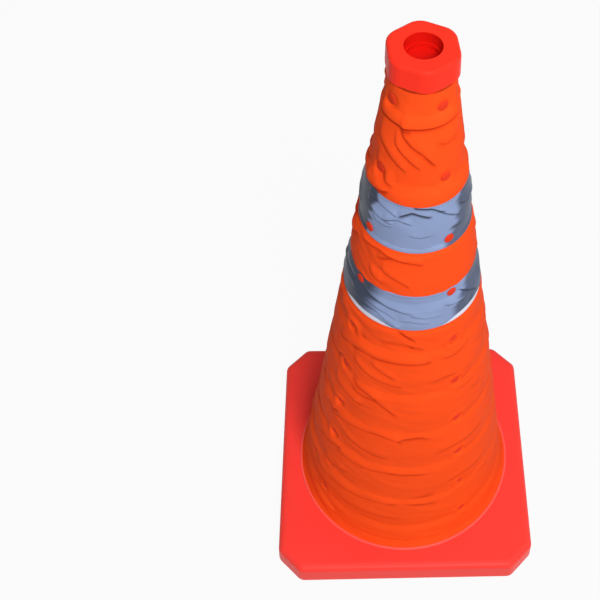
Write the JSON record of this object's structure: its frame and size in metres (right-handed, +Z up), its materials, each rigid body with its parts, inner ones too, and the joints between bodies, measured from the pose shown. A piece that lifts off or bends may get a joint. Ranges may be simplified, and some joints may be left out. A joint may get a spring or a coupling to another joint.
{
  "type": "traffic cone",
  "caption": "Collapsible traffic cone: square base, nesting rings that slide down, pegged fabric sleeve with reflective bands, six-sided cap with a hole.",
  "frame": {"origin": "centre of the base's footprint, on the ground", "axes": "+Z up along the cone, -Y the front, with one flat side of the base square to it"},
  "size_m": [0.304, 0.304, 0.706],
  "materials": {
    "moulded_red": "satin injection moulding",
    "cover_red": "matt injection moulding",
    "ring_plastic": "matt injection moulding",
    "peg_red": "satin",
    "sleeve_fabric": "coated plain-weave nylon",
    "reflective_band": "silver-grey retroreflective tape",
    "screw_steel": "zinc plated",
    "foot_rubber": "matt"
  },
  "bodies": {
    "base": {"base_shell": "moulded_red", "base_plate": "cover_red", "base_screws": "screw_steel", "rubber_feet": "foot_rubber", "hem_ring": "moulded_red", "ring_00": "ring_plastic", "sleeve": "sleeve_fabric"},
    "ring_01": {"ring_01": "ring_plastic"},
    "ring_02": {"ring_02": "ring_plastic", "pegs_01": "peg_red"},
    "ring_03": {"ring_03": "ring_plastic"},
    "ring_04": {"ring_04": "ring_plastic", "pegs_02": "peg_red"},
    "ring_05": {"ring_05": "ring_plastic"},
    "ring_06": {"ring_06": "ring_plastic", "pegs_03": "peg_red"},
    "ring_07": {"ring_07": "ring_plastic"},
    "ring_08": {"ring_08": "ring_plastic", "pegs_04": "peg_red"},
    "ring_09": {"ring_09": "ring_plastic"},
    "ring_10": {"ring_10": "ring_plastic", "pegs_05": "peg_red"},
    "ring_11": {"ring_11": "ring_plastic"},
    "ring_12": {"ring_12": "ring_plastic", "pegs_06": "peg_red"},
    "ring_13": {"ring_13": "ring_plastic"},
    "ring_14": {"ring_14": "ring_plastic", "pegs_07": "peg_red", "lower_band": "reflective_band"},
    "ring_15": {"ring_15": "ring_plastic"},
    "ring_16": {"ring_16": "ring_plastic", "pegs_08": "peg_red", "upper_band": "reflective_band"},
    "ring_17": {"ring_17": "ring_plastic"},
    "ring_18": {"ring_18": "ring_plastic", "pegs_09": "peg_red"},
    "ring_19": {"ring_19": "ring_plastic"},
    "ring_20": {"ring_20": "ring_plastic", "pegs_10": "peg_red", "cap": "moulded_red"}
  },
  "joints": [
    {"name": "ring_01_slide", "type": "slide", "parent": "base", "child": "ring_01", "axis": [0, 0, 1], "range_m": [-0.0232, 0], "deforming": ["sleeve"]},
    {"name": "ring_02_slide", "type": "slide", "parent": "ring_01", "child": "ring_02", "axis": [0, 0, 1], "range_m": [-0.02936, 0]},
    {"name": "ring_03_slide", "type": "slide", "parent": "ring_02", "child": "ring_03", "axis": [0, 0, 1], "range_m": [-0.02972, 0]},
    {"name": "ring_04_slide", "type": "slide", "parent": "ring_03", "child": "ring_04", "axis": [0, 0, 1], "range_m": [-0.03008, 0]},
    {"name": "ring_05_slide", "type": "slide", "parent": "ring_04", "child": "ring_05", "axis": [0, 0, 1], "range_m": [-0.03044, 0]},
    {"name": "ring_06_slide", "type": "slide", "parent": "ring_05", "child": "ring_06", "axis": [0, 0, 1], "range_m": [-0.0308, 0]},
    {"name": "ring_07_slide", "type": "slide", "parent": "ring_06", "child": "ring_07", "axis": [0, 0, 1], "range_m": [-0.03116, 0]},
    {"name": "ring_08_slide", "type": "slide", "parent": "ring_07", "child": "ring_08", "axis": [0, 0, 1], "range_m": [-0.03152, 0]},
    {"name": "ring_09_slide", "type": "slide", "parent": "ring_08", "child": "ring_09", "axis": [0, 0, 1], "range_m": [-0.03188, 0]},
    {"name": "ring_10_slide", "type": "slide", "parent": "ring_09", "child": "ring_10", "axis": [0, 0, 1], "range_m": [-0.03224, 0]},
    {"name": "ring_11_slide", "type": "slide", "parent": "ring_10", "child": "ring_11", "axis": [0, 0, 1], "range_m": [-0.0326, 0]},
    {"name": "ring_12_slide", "type": "slide", "parent": "ring_11", "child": "ring_12", "axis": [0, 0, 1], "range_m": [-0.03296, 0]},
    {"name": "ring_13_slide", "type": "slide", "parent": "ring_12", "child": "ring_13", "axis": [0, 0, 1], "range_m": [-0.03332, 0]},
    {"name": "ring_14_slide", "type": "slide", "parent": "ring_13", "child": "ring_14", "axis": [0, 0, 1], "range_m": [-0.03368, 0], "deforming": ["lower_band"]},
    {"name": "ring_15_slide", "type": "slide", "parent": "ring_14", "child": "ring_15", "axis": [0, 0, 1], "range_m": [-0.03404, 0]},
    {"name": "ring_16_slide", "type": "slide", "parent": "ring_15", "child": "ring_16", "axis": [0, 0, 1], "range_m": [-0.0344, 0], "deforming": ["upper_band"]},
    {"name": "ring_17_slide", "type": "slide", "parent": "ring_16", "child": "ring_17", "axis": [0, 0, 1], "range_m": [-0.03476, 0]},
    {"name": "ring_18_slide", "type": "slide", "parent": "ring_17", "child": "ring_18", "axis": [0, 0, 1], "range_m": [-0.03512, 0]},
    {"name": "ring_19_slide", "type": "slide", "parent": "ring_18", "child": "ring_19", "axis": [0, 0, 1], "range_m": [-0.03548, 0]},
    {"name": "ring_20_slide", "type": "slide", "parent": "ring_19", "child": "ring_20", "axis": [0, 0, 1], "range_m": [-0.0296, 0]}
  ],
  "couplings": [
    {"joint": "ring_02_slide", "follows": "ring_01_slide", "ratio": 1.2655},
    {"joint": "ring_03_slide", "follows": "ring_01_slide", "ratio": 1.281},
    {"joint": "ring_04_slide", "follows": "ring_01_slide", "ratio": 1.2966},
    {"joint": "ring_05_slide", "follows": "ring_01_slide", "ratio": 1.3121},
    {"joint": "ring_06_slide", "follows": "ring_01_slide", "ratio": 1.3276},
    {"joint": "ring_07_slide", "follows": "ring_01_slide", "ratio": 1.3431},
    {"joint": "ring_08_slide", "follows": "ring_01_slide", "ratio": 1.3586},
    {"joint": "ring_09_slide", "follows": "ring_01_slide", "ratio": 1.3741},
    {"joint": "ring_10_slide", "follows": "ring_01_slide", "ratio": 1.3897},
    {"joint": "ring_11_slide", "follows": "ring_01_slide", "ratio": 1.4052},
    {"joint": "ring_12_slide", "follows": "ring_01_slide", "ratio": 1.4207},
    {"joint": "ring_13_slide", "follows": "ring_01_slide", "ratio": 1.4362},
    {"joint": "ring_14_slide", "follows": "ring_01_slide", "ratio": 1.4517},
    {"joint": "ring_15_slide", "follows": "ring_01_slide", "ratio": 1.4672},
    {"joint": "ring_16_slide", "follows": "ring_01_slide", "ratio": 1.4828},
    {"joint": "ring_17_slide", "follows": "ring_01_slide", "ratio": 1.4983},
    {"joint": "ring_18_slide", "follows": "ring_01_slide", "ratio": 1.5138},
    {"joint": "ring_19_slide", "follows": "ring_01_slide", "ratio": 1.5293},
    {"joint": "ring_20_slide", "follows": "ring_01_slide", "ratio": 1.2759}
  ]
}
